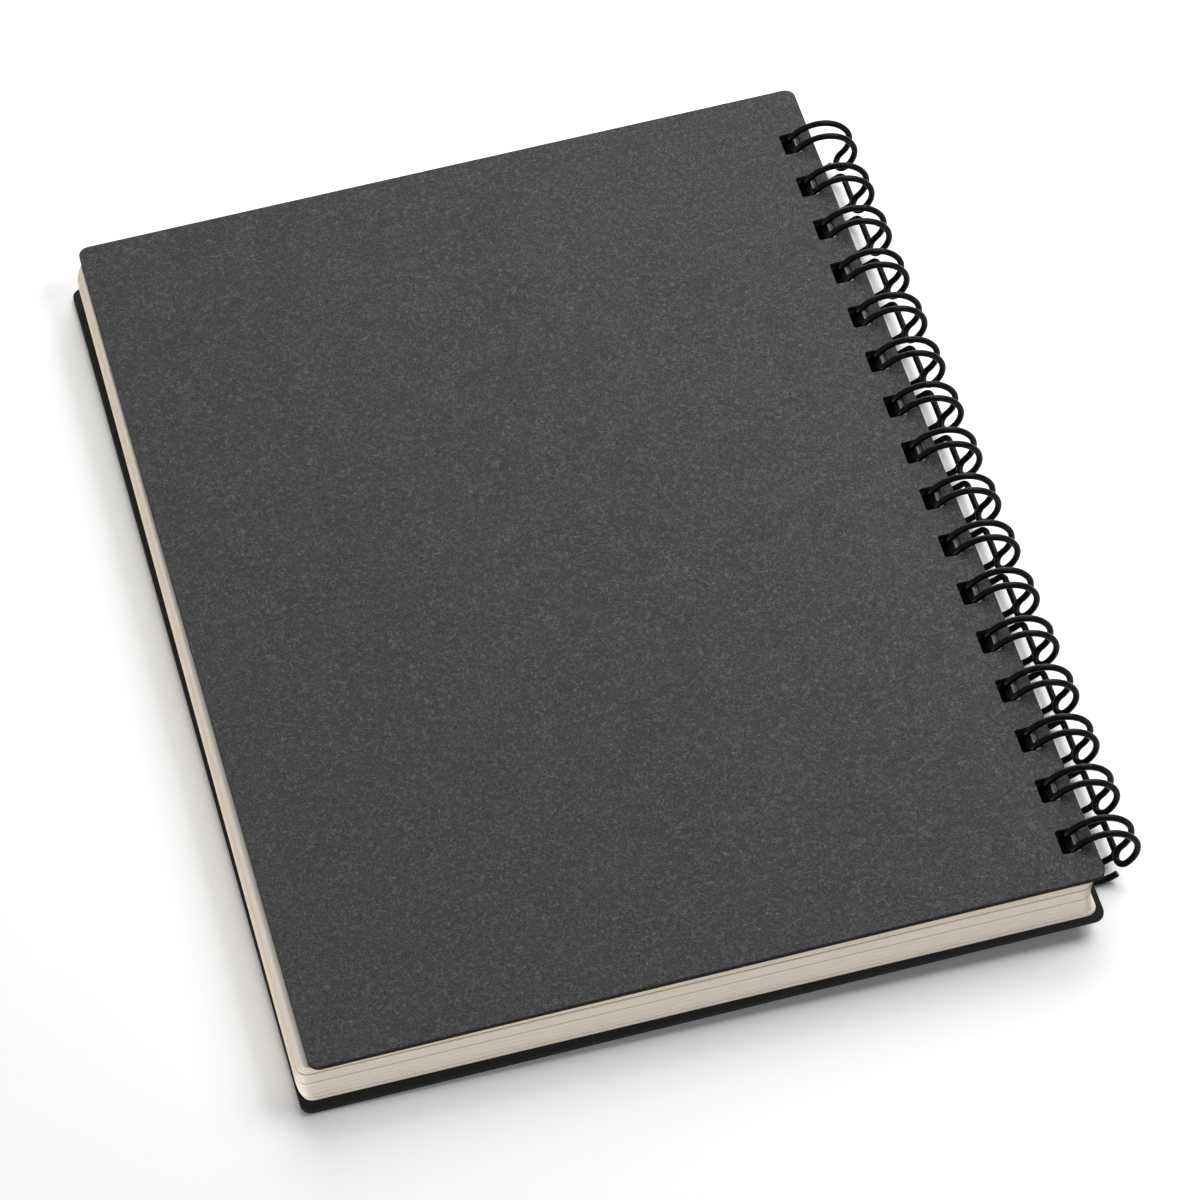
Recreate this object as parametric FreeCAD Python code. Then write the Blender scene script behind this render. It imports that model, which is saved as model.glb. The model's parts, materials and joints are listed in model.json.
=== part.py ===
import FreeCAD, Part
import math
import os

# A twin-wire notebook lying closed on its front cover.
# All lengths are in millimetres and all angles are in degrees.
# While it is built, X runs from the back cover's fore edge (0) to its spine edge,
# Y runs from the back cover's near edge (0) to its far edge, and Z rises from the
# front cover's underside (0). The whole book is then tipped so that it rests on the
# front cover's fore edge and on the rings, and moved to stand on its bottom centre.

# Covers, single boards
cover_width = 152.4
cover_length = 215.9
cover_thickness = 1.1
cover_corner_radius = 2.2
cover_arris_radius = 0.25
front_extra_width = 1.7
front_setback = 1.2
front_near_shift = 3.3

# Leaves, one block that leans towards the near edge from top to bottom
page_width_inset = 0.5
page_length_inset = 2.1
page_stack = 7.0
page_corner_radius = 2.2
page_near_inset = 0.1
page_lean = 2.0
page_slack = 0.25
page_levels = 8

# Punched holes, one for each finger of the wire, as many as the spine edge takes
hole_pitch = 12.7
hole_length = 5.8
hole_width = 3.9
hole_corner_radius = 0.5
spine_strip = 2.6
near_margin = 9.9
least_far_margin = 9.0

# Twin wire. Each finger is round where it passes the holes, bulges a little above the
# spine, and closes in a tighter bend over its own roots.
wire_diameter = 1.3
twin_spacing = 3.9
ring_centre_out = 0.85
running_clearance = 0.06
bulge_share = 0.08
bulge_start_angle = 140.0
closing_share = 0.73
closing_start_angle = 30.0
tip_end_angle = -52.0
root_end_angle = -58.0
root_bend_radius = 1.2

# Sizes that follow from the ones above
wire_radius = wire_diameter / 2
book_thickness = 2 * cover_thickness + page_stack
page_width = cover_width - page_width_inset
page_length = cover_length - page_length_inset
spine_x = cover_width
ring_x = spine_x + ring_centre_out
back_strip_x = spine_x - spine_strip
front_strip_x = spine_x - front_setback - spine_strip
ring_z = (
    (ring_x - back_strip_x) ** 2 + book_thickness ** 2 - (ring_x - front_strip_x) ** 2
) / (2 * book_thickness)
strip_reach = math.hypot(ring_x - back_strip_x, book_thickness - ring_z)
ring_radius = strip_reach + wire_radius + running_clearance
bulge = bulge_share * ring_radius
bulge_radius = ring_radius + bulge
closing_radius = closing_share * ring_radius
hole_count = int((cover_length - near_margin - least_far_margin) / hole_pitch) + 1
hole_ys = [near_margin + i * hole_pitch for i in range(hole_count)]


def unit(angle):
    """Direction in the XZ plane, counted from +X towards +Z."""
    turn = math.radians(angle)
    return FreeCAD.Vector(math.cos(turn), 0, math.sin(turn))


def rounded_outline(x0, x1, y0, y1, z, radius):
    """Closed wire of a rectangle with rounded corners, level at height z."""
    corners = [
        (x1 - radius, y1 - radius, 0),
        (x0 + radius, y1 - radius, 90),
        (x0 + radius, y0 + radius, 180),
        (x1 - radius, y0 + radius, 270),
    ]
    arcs = []
    for cx, cy, start in corners:
        points = []
        for angle in (start, start + 45, start + 90):
            turn = math.radians(angle)
            points.append(FreeCAD.Vector(cx + radius * math.cos(turn), cy + radius * math.sin(turn), z))
        arcs.append(Part.Arc(*points).toShape())
    edges = []
    for i, arc in enumerate(arcs):
        following = arcs[(i + 1) % len(arcs)]
        edges.append(arc)
        edges.append(Part.makeLine(arc.lastVertex().Point, following.firstVertex().Point))
    return Part.Wire(edges)


def hole_outline(edge_x, y, z):
    """Outline of one hole in a sheet whose spine edge is at edge_x."""
    right = edge_x - spine_strip
    return rounded_outline(
        right - hole_width, right, y - hole_length / 2, y + hole_length / 2, z, hole_corner_radius
    )


def make_cover(x0, x1, y0, z0):
    """Board with rounded corners, softened arrises and a row of holes."""
    outline = Part.Face(rounded_outline(x0, x1, y0, y0 + cover_length, z0, cover_corner_radius))
    board = outline.extrude(FreeCAD.Vector(0, 0, cover_thickness))
    rim = [e for e in board.Edges if abs(e.BoundBox.ZLength) < cover_thickness / 2]
    board = board.makeFillet(cover_arris_radius, rim)
    cutters = []
    for y in hole_ys:
        face = Part.Face(hole_outline(x1, y, z0 - cover_thickness))
        cutters.append(face.extrude(FreeCAD.Vector(0, 0, 3 * cover_thickness)))
    return board.cut(Part.makeCompound(cutters))


def page_edge_x(z):
    """Spine edge of the leaf at height z: its holes ride on the ring."""
    rise = (z - ring_z) / ring_radius
    slant = math.sqrt(1 - rise ** 2)
    wire_x = ring_x - ring_radius * slant
    return wire_x + wire_radius / slant + spine_strip + page_slack


def page_near_y(z):
    """Near edge of the leaf at height z."""
    depth = (cover_thickness + page_stack - z) / page_stack
    return page_near_inset - page_lean * depth


def make_page_block():
    """All the leaves as one solid, ruled between levels, with slanting holes."""
    heights = [cover_thickness + page_stack * i / page_levels for i in range(page_levels + 1)]
    outlines = []
    for z in heights:
        edge = page_edge_x(z)
        near = page_near_y(z)
        outlines.append(
            rounded_outline(edge - page_width, edge, near, near + page_length, z, page_corner_radius)
        )
    block = Part.makeLoft(outlines, True, True)
    cutters = []
    for y in hole_ys:
        wires = [hole_outline(page_edge_x(heights[0]), y, heights[0] - cover_thickness)]
        wires += [hole_outline(page_edge_x(z), y, z) for z in heights]
        wires.append(hole_outline(page_edge_x(heights[-1]), y, heights[-1] + cover_thickness))
        cutters.append(Part.makeLoft(wires, True, True))
    return block.cut(Part.makeCompound(cutters))


def disc(point, direction):
    return Part.Face(Part.Wire(Part.makeCircle(wire_radius, point, direction)))


def wire_arc(centre, radius, start, end):
    """Round wire bent about a line along Y, from one angle to a larger one."""
    point = centre + unit(start) * radius
    section = disc(point, unit(start + 90))
    return section.revolve(centre, FreeCAD.Vector(0, -1, 0), end - start)


def wire_bend(point, heading, side, radius, turn):
    """Round wire that leaves a ring at point and bends flat towards side * Y."""
    pivot = point + FreeCAD.Vector(0, side * radius, 0)
    axis = heading.cross(FreeCAD.Vector(0, side, 0))
    return disc(point, heading).revolve(pivot, axis, turn)


def make_binding_wire():
    """One wire folded into a row of two-legged fingers, each closed to a ring."""
    pieces = []
    root_heading = unit(root_end_angle + 90)
    tip_heading = unit(tip_end_angle - 90)
    to_bulge = unit(bulge_start_angle) * -bulge
    to_closing = to_bulge + unit(closing_start_angle) * (bulge_radius - closing_radius)
    for number, y in enumerate(hole_ys):
        centre = FreeCAD.Vector(ring_x, y, ring_z)
        for side in (-1, 1):
            shift = FreeCAD.Vector(0, side * twin_spacing / 2, 0)
            middle = centre + shift
            pieces.append(wire_arc(middle + to_closing, closing_radius, tip_end_angle, closing_start_angle))
            pieces.append(wire_arc(middle + to_bulge, bulge_radius, closing_start_angle, bulge_start_angle))
            pieces.append(wire_arc(middle, ring_radius, bulge_start_angle, root_end_angle + 360))
            at_end = (number == 0 and side < 0) or (number == hole_count - 1 and side > 0)
            if not at_end:
                root = middle + unit(root_end_angle) * ring_radius
                pieces.append(wire_bend(root, root_heading, side, root_bend_radius, 90))
        tip = centre + to_closing + unit(tip_end_angle) * closing_radius
        tip = tip - FreeCAD.Vector(0, twin_spacing / 2, 0)
        pieces.append(wire_bend(tip, tip_heading, 1, twin_spacing / 2, 180))
    bar_length = hole_pitch - twin_spacing - 2 * root_bend_radius
    bar_offset = unit(root_end_angle) * ring_radius + root_heading * root_bend_radius
    for y in hole_ys[:-1]:
        start = FreeCAD.Vector(ring_x, y + twin_spacing / 2 + root_bend_radius, ring_z) + bar_offset
        pieces.append(Part.makeCylinder(wire_radius, bar_length, start, FreeCAD.Vector(0, 1, 0)))
    return pieces[0].multiFuse(pieces[1:])


def make_book():
    """Every piece by its name, in the flat book's own axes."""
    front_x1 = spine_x - front_setback
    front_x0 = front_x1 - cover_width - front_extra_width
    back_z = cover_thickness + page_stack
    return {
        "back_cover": make_cover(0, spine_x, 0, back_z),
        "page_block": make_page_block(),
        "front_cover": make_cover(front_x0, front_x1, -front_near_shift, 0),
        "binding_wire": make_binding_wire(),
    }


# The book leans on the front cover's fore edge and on the lowest points of the rings.
fore_edge_x = spine_x - front_setback - cover_width - front_extra_width
rest_x = fore_edge_x + cover_arris_radius
ring_reach = math.hypot(ring_x - rest_x, ring_z)
ring_slope = math.degrees(math.atan2(ring_z, ring_x - rest_x))
book_tilt = math.degrees(math.asin((ring_radius + wire_radius) / ring_reach)) - ring_slope


def set_down(shape):
    """Tip a piece about the line on which the front cover rests."""
    shape = shape.copy()
    shape.rotate(FreeCAD.Vector(rest_x, 0, 0), FreeCAD.Vector(0, -1, 0), book_tilt)
    return shape


def main():
    os.makedirs("parts", exist_ok=True)
    book = {name: set_down(shape) for name, shape in make_book().items()}
    bounds = FreeCAD.BoundBox()
    for shape in book.values():
        bounds.add(shape.optimalBoundingBox(False))
    home = FreeCAD.Vector(-bounds.Center.x, -bounds.Center.y, -bounds.ZMin)
    for name, shape in book.items():
        shape.translate(home)
        shape.exportStep("parts/" + name + ".step")
        print(name, "solids", len(shape.Solids), "valid", shape.isValid(), "volume", round(shape.Volume, 1))
    print("ring radius", round(ring_radius, 3), "tilt", round(book_tilt, 3))
    print("box", bounds)
    print("home", home)


main()
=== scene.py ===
import json
import math
import random
import bpy
from mathutils import Matrix, Vector
from mathutils.geometry import tessellate_polygon


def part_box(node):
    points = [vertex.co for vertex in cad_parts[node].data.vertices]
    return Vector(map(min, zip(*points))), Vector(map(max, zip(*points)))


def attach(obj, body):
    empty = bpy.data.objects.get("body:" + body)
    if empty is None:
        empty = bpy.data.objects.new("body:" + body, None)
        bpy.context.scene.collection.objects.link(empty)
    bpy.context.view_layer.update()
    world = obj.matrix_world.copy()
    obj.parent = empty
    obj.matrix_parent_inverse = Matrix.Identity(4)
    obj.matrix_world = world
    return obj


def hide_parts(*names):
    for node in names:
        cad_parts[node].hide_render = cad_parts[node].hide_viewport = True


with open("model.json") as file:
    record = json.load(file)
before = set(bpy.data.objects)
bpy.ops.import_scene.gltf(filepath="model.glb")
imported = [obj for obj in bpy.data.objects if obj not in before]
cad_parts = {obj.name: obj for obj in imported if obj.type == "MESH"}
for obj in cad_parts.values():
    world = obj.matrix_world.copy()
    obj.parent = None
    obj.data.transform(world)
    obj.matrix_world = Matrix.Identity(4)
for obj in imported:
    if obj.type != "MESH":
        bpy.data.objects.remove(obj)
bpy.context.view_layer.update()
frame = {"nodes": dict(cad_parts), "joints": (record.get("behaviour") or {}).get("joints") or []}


# The camera looks down on the book from its near left, through a long lens, so the long
# edges draw together only a little. Its angles are in degrees and its lengths in metres.
camera_target = Vector((0.0001, -0.0111, 0.0081))
camera_distance = 1.1786
camera_turn = 12.32
camera_drop = 49.47
camera_roll = -2.96
camera_lens_mm = 181.84

camera_data = bpy.data.cameras.new("photograph")
camera_data.lens = camera_lens_mm
camera_data.clip_end = 20
camera = bpy.data.objects.new("photograph", camera_data)
bpy.context.scene.collection.objects.link(camera)
facing = (
    Matrix.Rotation(math.radians(-camera_turn), 4, "Z")
    @ Matrix.Rotation(math.radians(90 - camera_drop), 4, "X")
    @ Matrix.Rotation(math.radians(camera_roll), 4, "Z")
)
backward = facing.to_3x3() @ Vector((0, 0, 1))
camera.matrix_world = Matrix.Translation(camera_target + backward * camera_distance) @ facing
bpy.context.scene.camera = camera
bpy.context.scene.view_settings.view_transform = "Standard"


# The floor is a matt white sheet. The camera sees it a little brighter than white, so that it
# runs into the background, and it keeps the soft shadow of the book.
def paint(hex_colour):
    """Turn an sRGB hex colour into linear numbers with an alpha of 1."""
    channels = []
    for start in (0, 2, 4):
        value = int(hex_colour[start:start + 2], 16) / 255
        channels.append(value / 12.92 if value <= 0.04045 else ((value + 0.055) / 1.055) ** 2.4)
    return (*channels, 1)


def add_node(tree, kind, inputs=None, **settings):
    """Add one node, set its options, and fill or link its inputs."""
    node = tree.nodes.new(kind)
    for name, value in settings.items():
        setattr(node, name, value)
    for key, value in (inputs or {}).items():
        if isinstance(value, bpy.types.NodeSocket):
            tree.links.new(value, node.inputs[key])
        else:
            node.inputs[key].default_value = value
    return node


def empty_material(name):
    material = bpy.data.materials.new(name)
    material.use_nodes = True
    material.node_tree.nodes.clear()
    return material


def seen_directly(tree):
    """One where a ray comes from the camera, a reflection or a clear body, and else zero."""
    path = add_node(tree, "ShaderNodeLightPath")
    mirrored = add_node(
        tree, "ShaderNodeMath",
        {0: path.outputs["Is Camera Ray"], 1: path.outputs["Is Glossy Ray"]}, operation="MAXIMUM"
    )
    return add_node(
        tree, "ShaderNodeMath",
        {0: mirrored.outputs[0], 1: path.outputs["Is Transmission Ray"]}, operation="MAXIMUM"
    ).outputs[0]


floor_reach = 4.0
sheet_gain = 1.20
floor_mesh = bpy.data.meshes.new("floor")
floor_mesh.from_pydata(
    [(-floor_reach, -floor_reach, 0), (floor_reach, -floor_reach, 0),
     (floor_reach, floor_reach, 0), (-floor_reach, floor_reach, 0)],
    [], [(0, 1, 2, 3)]
)
floor = bpy.data.objects.new("floor", floor_mesh)
bpy.context.scene.collection.objects.link(floor)

white_sheet = empty_material("white_sheet")
tree = white_sheet.node_tree
plain = add_node(tree, "ShaderNodeBsdfDiffuse", {"Color": paint("e8e8e8")})
over_white = add_node(
    tree, "ShaderNodeVectorMath", {0: (1, 1, 1), "Scale": sheet_gain}, operation="SCALE"
)
bright = add_node(tree, "ShaderNodeBsdfDiffuse", {"Color": over_white.outputs[0]})
sheet_mix = add_node(
    tree, "ShaderNodeMixShader", {0: seen_directly(tree), 1: plain.outputs[0], 2: bright.outputs[0]}
)
add_node(tree, "ShaderNodeOutputMaterial", {"Surface": sheet_mix.outputs[0]})
floor_mesh.materials.append(white_sheet)


# The light is a wide soft lamp beyond the far end, a small one at the spine side, a low weak
# one in front and a pale room. The shadow falls towards the near edge, and less to the left.
room = bpy.data.worlds.new("white_room")
room.use_nodes = True
tree = room.node_tree
tree.nodes.clear()
room_light = add_node(tree, "ShaderNodeBackground", {"Color": paint("ffffff"), "Strength": 0.08})
room_seen = add_node(tree, "ShaderNodeBackground", {"Color": paint("ffffff"), "Strength": 1.0})
room_mix = add_node(
    tree, "ShaderNodeMixShader", {0: seen_directly(tree), 1: room_light.outputs[0], 2: room_seen.outputs[0]}
)
add_node(tree, "ShaderNodeOutputWorld", {"Surface": room_mix.outputs[0]})
bpy.context.scene.world = room


def soft_lamp(name, place, size, watts):
    """A square soft lamp that faces the book."""
    data = bpy.data.lights.new(name, "AREA")
    data.shape = "SQUARE"
    data.size = size
    data.energy = watts
    lamp = bpy.data.objects.new(name, data)
    lamp.location = place
    lamp.rotation_euler = (-Vector(place)).to_track_quat("-Z", "Y").to_euler()
    bpy.context.scene.collection.objects.link(lamp)


soft_lamp("far_lamp", (0.32, 1.00, 0.60), 1.05, 17.0)
soft_lamp("spine_lamp", (0.35, 0.02, 0.34), 0.26, 1.45)
soft_lamp("front_lamp", (-1.15, -0.72, 0.17), 0.3, 13.0)


# The covers are two single boards, dyed dark grey. Each is matt, with short curled fibres in
# the outer face. The cut edges and the punched holes are near black. The inner faces are the
# same grey board, painted near black as painted shade for the shade they lie in.
MM = 0.001
book_tilt = math.radians(1.275)
board_up = Vector((-math.sin(book_tilt), 0, math.cos(book_tilt)))
cloud_mm = 9.0
grain_mm = 0.35
curl_mm = 0.95
break_mm = 1.3
fibre_layer_offsets_mm = (0, 37)
fibre_strength = 0.6
board_relief_mm = 0.04


def curled_fibres(tree, place, offset_mm):
    """Thin curled lines, broken into short lengths, as a number from 0 to 1."""
    moved = add_node(
        tree, "ShaderNodeVectorMath", {0: place, 1: (offset_mm * MM, 0, 0)}, operation="ADD"
    )
    curl = add_node(
        tree, "ShaderNodeTexNoise",
        {"Vector": moved.outputs[0], "Scale": 1 / (curl_mm * MM), "Detail": 1.5, "Distortion": 0.6}
    )
    off_line = add_node(tree, "ShaderNodeMath", {0: curl.outputs["Fac"], 1: 0.5}, operation="SUBTRACT")
    distance = add_node(tree, "ShaderNodeMath", {0: off_line.outputs[0]}, operation="ABSOLUTE")
    line = add_node(
        tree, "ShaderNodeMapRange",
        {"Value": distance.outputs[0], "From Min": 0.004, "From Max": 0.034, "To Min": 1.0, "To Max": 0.0}
    )
    breaks = add_node(
        tree, "ShaderNodeTexNoise",
        {"Vector": moved.outputs[0], "Scale": 1 / (break_mm * MM), "Detail": 1.0}
    )
    lengths = add_node(
        tree, "ShaderNodeMapRange",
        {"Value": breaks.outputs["Fac"], "From Min": 0.38, "From Max": 0.60, "To Min": 0.15, "To Max": 1.0}
    )
    return add_node(
        tree, "ShaderNodeMath", {0: line.outputs[0], 1: lengths.outputs[0]}, operation="MULTIPLY"
    ).outputs[0]


def board_material(name, outward):
    """Fibrous grey on the face that looks outward, and near black on the rest, which on the inner face is
    painted shade.
    """
    material = empty_material(name)
    tree = material.node_tree
    spot = add_node(tree, "ShaderNodeTexCoord")
    place = spot.outputs["Object"]
    cloud = add_node(tree, "ShaderNodeTexNoise", {"Vector": place, "Scale": 1 / (cloud_mm * MM), "Detail": 3.0})
    grain = add_node(
        tree, "ShaderNodeTexNoise",
        {"Vector": place, "Scale": 1 / (grain_mm * MM), "Detail": 2.0, "Roughness": 0.6}
    )
    clouded = add_node(
        tree, "ShaderNodeMix",
        {"Factor": cloud.outputs["Fac"], "A": paint("333334"), "B": paint("474646")}, data_type="RGBA"
    )
    speck = add_node(
        tree, "ShaderNodeMapRange",
        {"Value": grain.outputs["Fac"], "From Min": 0.35, "From Max": 0.6, "To Min": 0.0, "To Max": 1.0}
    )
    grained = add_node(
        tree, "ShaderNodeMix",
        {"Factor": speck.outputs[0], "A": paint("2a292a"), "B": clouded.outputs["Result"]},
        data_type="RGBA"
    )
    fibres = None
    for offset_mm in fibre_layer_offsets_mm:
        layer = curled_fibres(tree, place, offset_mm)
        fibres = layer if fibres is None else add_node(
            tree, "ShaderNodeMath", {0: fibres, 1: layer}, operation="MAXIMUM"
        ).outputs[0]
    fibre_part = add_node(tree, "ShaderNodeMath", {0: fibres, 1: fibre_strength}, operation="MULTIPLY")
    fibrous = add_node(
        tree, "ShaderNodeMix",
        {"Factor": fibre_part.outputs[0], "A": grained.outputs["Result"], "B": paint("716f6d")},
        data_type="RGBA"
    )
    facing_out = add_node(
        tree, "ShaderNodeVectorMath", {0: spot.outputs["Normal"], 1: tuple(outward)},
        operation="DOT_PRODUCT"
    )
    on_face = add_node(
        tree, "ShaderNodeMapRange",
        {"Value": facing_out.outputs["Value"], "From Min": 0.35, "From Max": 0.95,
         "To Min": 0.0, "To Max": 1.0}
    )
    # The near black 161616 goes on edges, holes and inner faces; on the inner faces it is painted shade.
    colour = add_node(
        tree, "ShaderNodeMix",
        {"Factor": on_face.outputs[0], "A": paint("161616"), "B": fibrous.outputs["Result"]},
        data_type="RGBA"
    )
    relief = add_node(tree, "ShaderNodeMath", {0: grain.outputs["Fac"], 1: fibres}, operation="ADD")
    bump = add_node(
        tree, "ShaderNodeBump",
        {"Height": relief.outputs[0], "Strength": 0.3, "Distance": board_relief_mm * MM}
    )
    shader = add_node(
        tree, "ShaderNodeBsdfPrincipled",
        {"Base Color": colour.outputs["Result"], "Roughness": 0.85, "IOR": 1.3,
         "Normal": bump.outputs[0]}
    )
    add_node(tree, "ShaderNodeOutputMaterial", {"Surface": shader.outputs[0]})
    return material


for name, outward in (("back_cover", board_up), ("front_cover", -board_up)):
    cover = frame["nodes"][name]
    cover.data.materials.clear()
    cover.data.materials.append(board_material("dyed_fibre_board_" + name, outward))


# The leaves are loose sheets of cream paper on the rings, drawn in lifts that each lie a hair
# off their neighbours. The stack is turned a third of a degree, as its fore edge is in the
# photo. Its spine edges follow the round of the rings.
hinge_place = Vector(frame["joints"][0]["pos_m"])
leaf_count = 80
lift_leaves = (6, 7, 31, 21, 15)
# How tan the first leaves of each lift are: painted shade of the gaps between lifts.
lift_gap_shades = (0.0, 0.35, 0.45, 0.95, 0.9)
gap_shaded_leaves = 2
lift_tone_spread = 0.10
leaf_tone_spread = 0.04
lift_slip_mm = 0.12
leaf_slip_mm = 0.03
first_leaf_slip_mm = (0.04, 0.05)
stack_mm = 7.0
board_mm = 1.1
leaf_corner_mm = 2.2
leaf_corner_steps = 5
leaf_width_mm = 152.1
leaf_length_mm = 212.6
leaf_gap_mm = 0.004
leaf_skew = math.radians(0.35)
hole_size_mm = (3.9, 5.8)
hole_corner_mm = 0.5
hole_corner_steps = 2
hole_rim_mm = 0.12
hole_rim_shade = 0.9
hole_strip_mm = 2.6
hole_pitch_mm = 12.7
hole_count = 16
first_hole_mm = 9.9
ring_out_mm = 0.85
ring_height_mm = 4.072
ring_radius_mm = 6.891
wire_radius_mm = 0.65
leaf_slack_mm = 0.25
leaf_lean_mm = 2.0


def rounded_outline(low, high, radius, steps):
    """Corner points of a rounded rectangle, counter-clockwise, as pairs."""
    centres = [
        (high[0] - radius, high[1] - radius),
        (low[0] + radius, high[1] - radius),
        (low[0] + radius, low[1] + radius),
        (high[0] - radius, low[1] + radius),
    ]
    points = []
    for corner, (cx, cy) in enumerate(centres):
        for step in range(steps + 1):
            angle = math.radians(90 * (corner + step / steps))
            points.append((cx + radius * math.cos(angle), cy + radius * math.sin(angle)))
    return points


def skewed_sheet():
    """Outline of one leaf, turned by the skew about the middle of its spine edge."""
    middle = leaf_length_mm / 2
    outline = []
    square = rounded_outline((-leaf_width_mm, -middle), (0, middle), leaf_corner_mm, leaf_corner_steps)
    for x, y in square:
        outline.append((
            x * math.cos(leaf_skew) + y * math.sin(leaf_skew),
            middle - x * math.sin(leaf_skew) + y * math.cos(leaf_skew),
        ))
    return outline


def leaf_hole(number, margin):
    """Outline of one hole, clockwise, and wider all round by a margin."""
    middle = first_hole_mm + number * hole_pitch_mm
    low = (-hole_strip_mm - hole_size_mm[0] - margin, middle - hole_size_mm[1] / 2 - margin)
    high = (-hole_strip_mm + margin, middle + hole_size_mm[1] / 2 + margin)
    return rounded_outline(low, high, hole_corner_mm + margin, hole_corner_steps)[::-1]


def leaf_mesh():
    """One leaf with its spine edge at x = 0 and its near edge at y = 0, in metres."""
    sheet = skewed_sheet()
    rims = [leaf_hole(number, hole_rim_mm) for number in range(hole_count)]
    holes = [leaf_hole(number, 0) for number in range(hole_count)]
    flat = [(x * MM, y * MM, 0) for loop in [sheet] + rims + holes for x, y in loop]
    thickness = (stack_mm / leaf_count - leaf_gap_mm) * MM
    total = len(flat)
    points = flat + [(x, y, thickness) for x, y, _ in flat]
    faces = []
    corners = [[Vector((x * MM, y * MM, 0)) for x, y in loop] for loop in [sheet] + rims]
    for tri in tessellate_polygon(corners):
        a, b, c = (Vector(flat[i]) for i in tri)
        upward = (b - a).cross(c - a).z > 0
        top = tuple(tri) if upward else tuple(tri)[::-1]
        faces.append(tuple(i + total for i in top))
        faces.append(top[::-1])
    # Each face keeps how much painted hole shade it takes: full on the hole walls, most on their rims.
    face_hole_shades = [0.0] * len(faces)
    walls = [(0, len(sheet), 0.0)]
    hole_points = len(holes[0])
    for number in range(hole_count):
        rim_start = len(sheet) + number * hole_points
        hole_start = rim_start + hole_count * hole_points
        walls.append((hole_start, hole_points, 1.0))
        for i in range(hole_points):
            j = (i + 1) % hole_points
            under = (rim_start + i, rim_start + j, hole_start + j, hole_start + i)
            faces.append(under)
            faces.append(tuple(point + total for point in under[::-1]))
            face_hole_shades += [hole_rim_shade, hole_rim_shade]
    for start, size, wall_shade in walls:
        for i in range(size):
            j = (i + 1) % size
            faces.append((start + i, start + j, start + j + total, start + i + total))
            face_hole_shades.append(wall_shade)
    mesh = bpy.data.meshes.new("leaf")
    mesh.from_pydata(points, [], faces)
    store = mesh.attributes.new("painted_hole_shade", "FLOAT", "FACE")
    store.data.foreach_set("value", face_hole_shades)
    return mesh


def leaf_place(height):
    """Where a leaf's spine edge and near edge are, at a height above the front cover's face."""
    rise = (height - ring_height_mm) / ring_radius_mm
    slant = math.sqrt(1 - rise * rise)
    wire_x = ring_out_mm - ring_radius_mm * slant + wire_radius_mm / slant
    depth = (board_mm + stack_mm - height) / stack_mm
    return wire_x + hole_strip_mm + leaf_slack_mm, -leaf_lean_mm * depth


shuffle = random.Random(7)
leaf_points = []
leaf_tones = []
height = board_mm
for lift, leaves in enumerate(lift_leaves):
    lift_slip = (shuffle.uniform(0, lift_slip_mm), shuffle.uniform(-lift_slip_mm, lift_slip_mm))
    lift_tone = shuffle.uniform(0, lift_tone_spread)
    for number in range(leaves):
        edge_x, near_y = leaf_place(height)
        first_slip = first_leaf_slip_mm if number == 0 and lift > 0 else (0, 0)
        leaf_points.append((
            (edge_x + lift_slip[0] + shuffle.uniform(0, leaf_slip_mm) + first_slip[0]) * MM,
            (near_y + lift_slip[1] + shuffle.uniform(-leaf_slip_mm, leaf_slip_mm) + first_slip[1]) * MM,
            height * MM,
        ))
        # The first leaves of a lift take its painted gap shade, the others a random tone.
        if number < gap_shaded_leaves and lift_gap_shades[lift] > 0:
            leaf_tones.append(lift_gap_shades[lift])
        else:
            leaf_tones.append(lift_tone + shuffle.uniform(0, leaf_tone_spread))
        height += stack_mm / leaf_count

leaf = bpy.data.objects.new("leaf", leaf_mesh())
stack_mesh = bpy.data.meshes.new("page_leaves")
stack_mesh.from_pydata(leaf_points, [], [])
tone_store = stack_mesh.attributes.new("tone", "FLOAT", "POINT")
for index, tone in enumerate(leaf_tones):
    tone_store.data[index].value = tone
stack = bpy.data.objects.new("page_leaves", stack_mesh)
bpy.context.scene.collection.objects.link(stack)

# Uncoated paper is matt and cream, with thin darker streaks along its cut edges. The walls and
# narrow rims of the holes are painted dark as painted shade, because the holes look black
# inside. Real paper would be cream there too.
streak_length_mm = 40.0
streak_depth_mm = 0.1111
cream_paper = empty_material("uncoated_cream_paper")
tree = cream_paper.node_tree
spot = add_node(tree, "ShaderNodeTexCoord")
tone = add_node(tree, "ShaderNodeAttribute", attribute_name="tone")
streak_scale = (1 / (streak_length_mm * MM), 1 / (streak_length_mm * MM), 1 / (streak_depth_mm * MM))
streak_place = add_node(
    tree, "ShaderNodeMapping", {"Vector": spot.outputs["Object"], "Scale": streak_scale}
)
streak = add_node(
    tree, "ShaderNodeTexNoise", {"Vector": streak_place.outputs[0], "Scale": 1.0, "Detail": 2.0}
)
wear = add_node(
    tree, "ShaderNodeMapRange",
    {"Value": streak.outputs["Fac"], "From Min": 0.35, "From Max": 0.7, "To Min": -0.08, "To Max": 0.12}
)
wear_and_gap_shade = add_node(
    tree, "ShaderNodeMath", {0: tone.outputs["Fac"], 1: wear.outputs[0]}, operation="ADD", use_clamp=True
)
facing_up = add_node(
    tree, "ShaderNodeVectorMath", {0: spot.outputs["Normal"], 1: tuple(board_up)}, operation="DOT_PRODUCT"
)
flat_part = add_node(tree, "ShaderNodeMath", {0: facing_up.outputs["Value"]}, operation="ABSOLUTE")
edge_part = add_node(tree, "ShaderNodeMath", {0: 1.0, 1: flat_part.outputs[0]}, operation="SUBTRACT")
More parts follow.
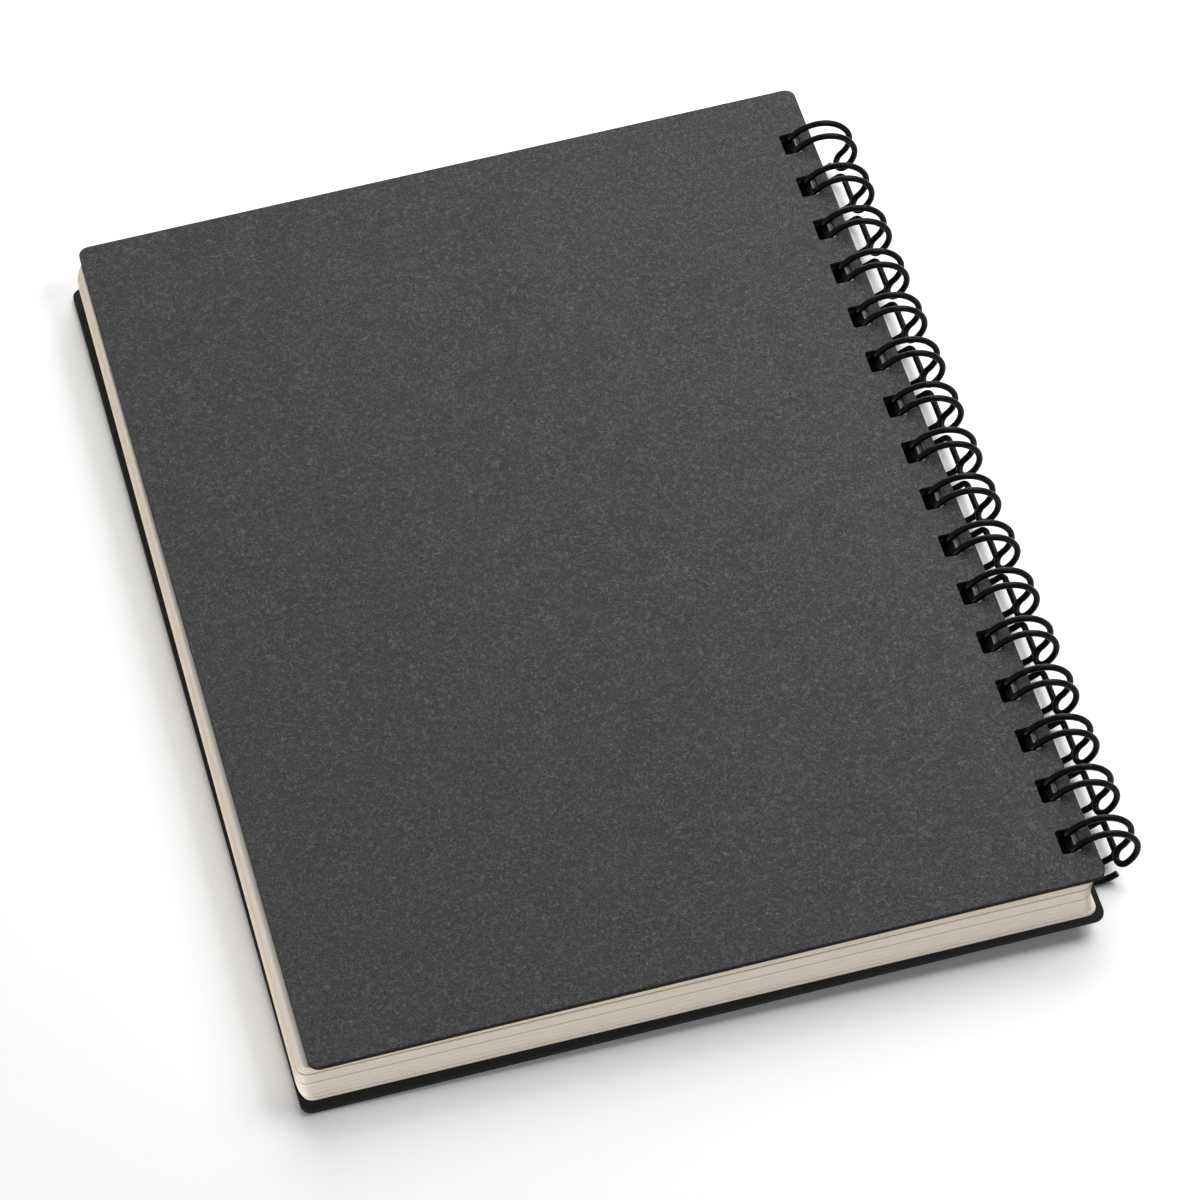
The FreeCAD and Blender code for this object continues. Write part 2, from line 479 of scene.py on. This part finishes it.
edge_tone_and_gap_shade = add_node(
    tree, "ShaderNodeMath", {0: wear_and_gap_shade.outputs[0], 1: edge_part.outputs[0]}, operation="MULTIPLY"
)
# Cut edges go towards tan by their tone: random streaks and tones, and painted shade of the gaps between lifts.
paper_colour = add_node(
    tree, "ShaderNodeMix",
    {"Factor": edge_tone_and_gap_shade.outputs[0], "A": paint("fbf3e7"), "B": paint("c4a67e")}, data_type="RGBA"
)
# Hole walls and rims are painted dark brown 120d09: painted shade for the deep holes.
painted_hole_shade = add_node(tree, "ShaderNodeAttribute", attribute_name="painted_hole_shade")
edge_colour = add_node(
    tree, "ShaderNodeMix",
    {"Factor": painted_hole_shade.outputs["Fac"], "A": paper_colour.outputs["Result"], "B": paint("120d09")},
    data_type="RGBA"
)
paper_shader = add_node(
    tree, "ShaderNodeBsdfPrincipled",
    {"Base Color": edge_colour.outputs["Result"], "Roughness": 0.9, "IOR": 1.3}
)
add_node(tree, "ShaderNodeOutputMaterial", {"Surface": paper_shader.outputs[0]})

stacking = bpy.data.node_groups.new("stack_of_leaves", "GeometryNodeTree")
stacking.interface.new_socket("Places", in_out="INPUT", socket_type="NodeSocketGeometry")
stacking.interface.new_socket("Leaf", in_out="INPUT", socket_type="NodeSocketObject")
stacking.interface.new_socket("Stack", in_out="OUTPUT", socket_type="NodeSocketGeometry")
given = add_node(stacking, "NodeGroupInput")
one_leaf = add_node(stacking, "GeometryNodeObjectInfo", {"Object": given.outputs["Leaf"]})
laid = add_node(
    stacking, "GeometryNodeInstanceOnPoints",
    {"Points": given.outputs["Places"], "Instance": one_leaf.outputs["Geometry"]}
)
real = add_node(stacking, "GeometryNodeRealizeInstances", {"Geometry": laid.outputs[0]})
dressed = add_node(
    stacking, "GeometryNodeSetMaterial", {"Geometry": real.outputs[0], "Material": cream_paper}
)
add_node(stacking, "NodeGroupOutput", {"Stack": dressed.outputs[0]})
modifier = stack.modifiers.new("stack", "NODES")
modifier.node_group = stacking
sockets = {item.name: item.identifier for item in stacking.interface.items_tree}
modifier[sockets["Leaf"]] = leaf
evaluated = stack.evaluated_get(bpy.context.evaluated_depsgraph_get())
finished = bpy.data.meshes.new_from_object(evaluated)
stack.modifiers.clear()
stack.data = finished

# The stack is turned with the book, which leans on its rings, and set on the front cover.
near_edge_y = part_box("back_cover")[0][1]
to_book = (
    Matrix.Translation((hinge_place.x, near_edge_y, hinge_place.z))
    @ Matrix.Rotation(book_tilt, 4, (0, -1, 0))
    @ Matrix.Translation((-ring_out_mm * MM, 0, -ring_height_mm * MM))
)
finished.transform(to_book)
finished.update()
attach(stack, "leaves")
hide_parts("page_block")


# The binding is one steel wire with a black coat, taken to be nylon, bent to fingers and
# pressed round. The coat is smooth, so it has a soft highlight along the top of each ring.
# Its IOR is set well below nylon's, to keep it as dark as in the photo.
ripple_mm = 0.8
ripple_depth_mm = 0.05
coated_wire = empty_material("nylon_coated_wire")
tree = coated_wire.node_tree
place = add_node(tree, "ShaderNodeTexCoord").outputs["Object"]
ripple = add_node(tree, "ShaderNodeTexNoise", {"Vector": place, "Scale": 1 / (ripple_mm * MM), "Detail": 2.0})
coat_bump = add_node(
    tree, "ShaderNodeBump",
    {"Height": ripple.outputs["Fac"], "Strength": 0.15, "Distance": ripple_depth_mm * MM}
)
coat_shader = add_node(
    tree, "ShaderNodeBsdfPrincipled",
    {"Base Color": paint("040404"), "Roughness": 0.22, "IOR": 1.16, "Normal": coat_bump.outputs[0]}
)
add_node(tree, "ShaderNodeOutputMaterial", {"Surface": coat_shader.outputs[0]})
wire = frame["nodes"]["binding_wire"]
wire.data.materials.clear()
wire.data.materials.append(coated_wire)
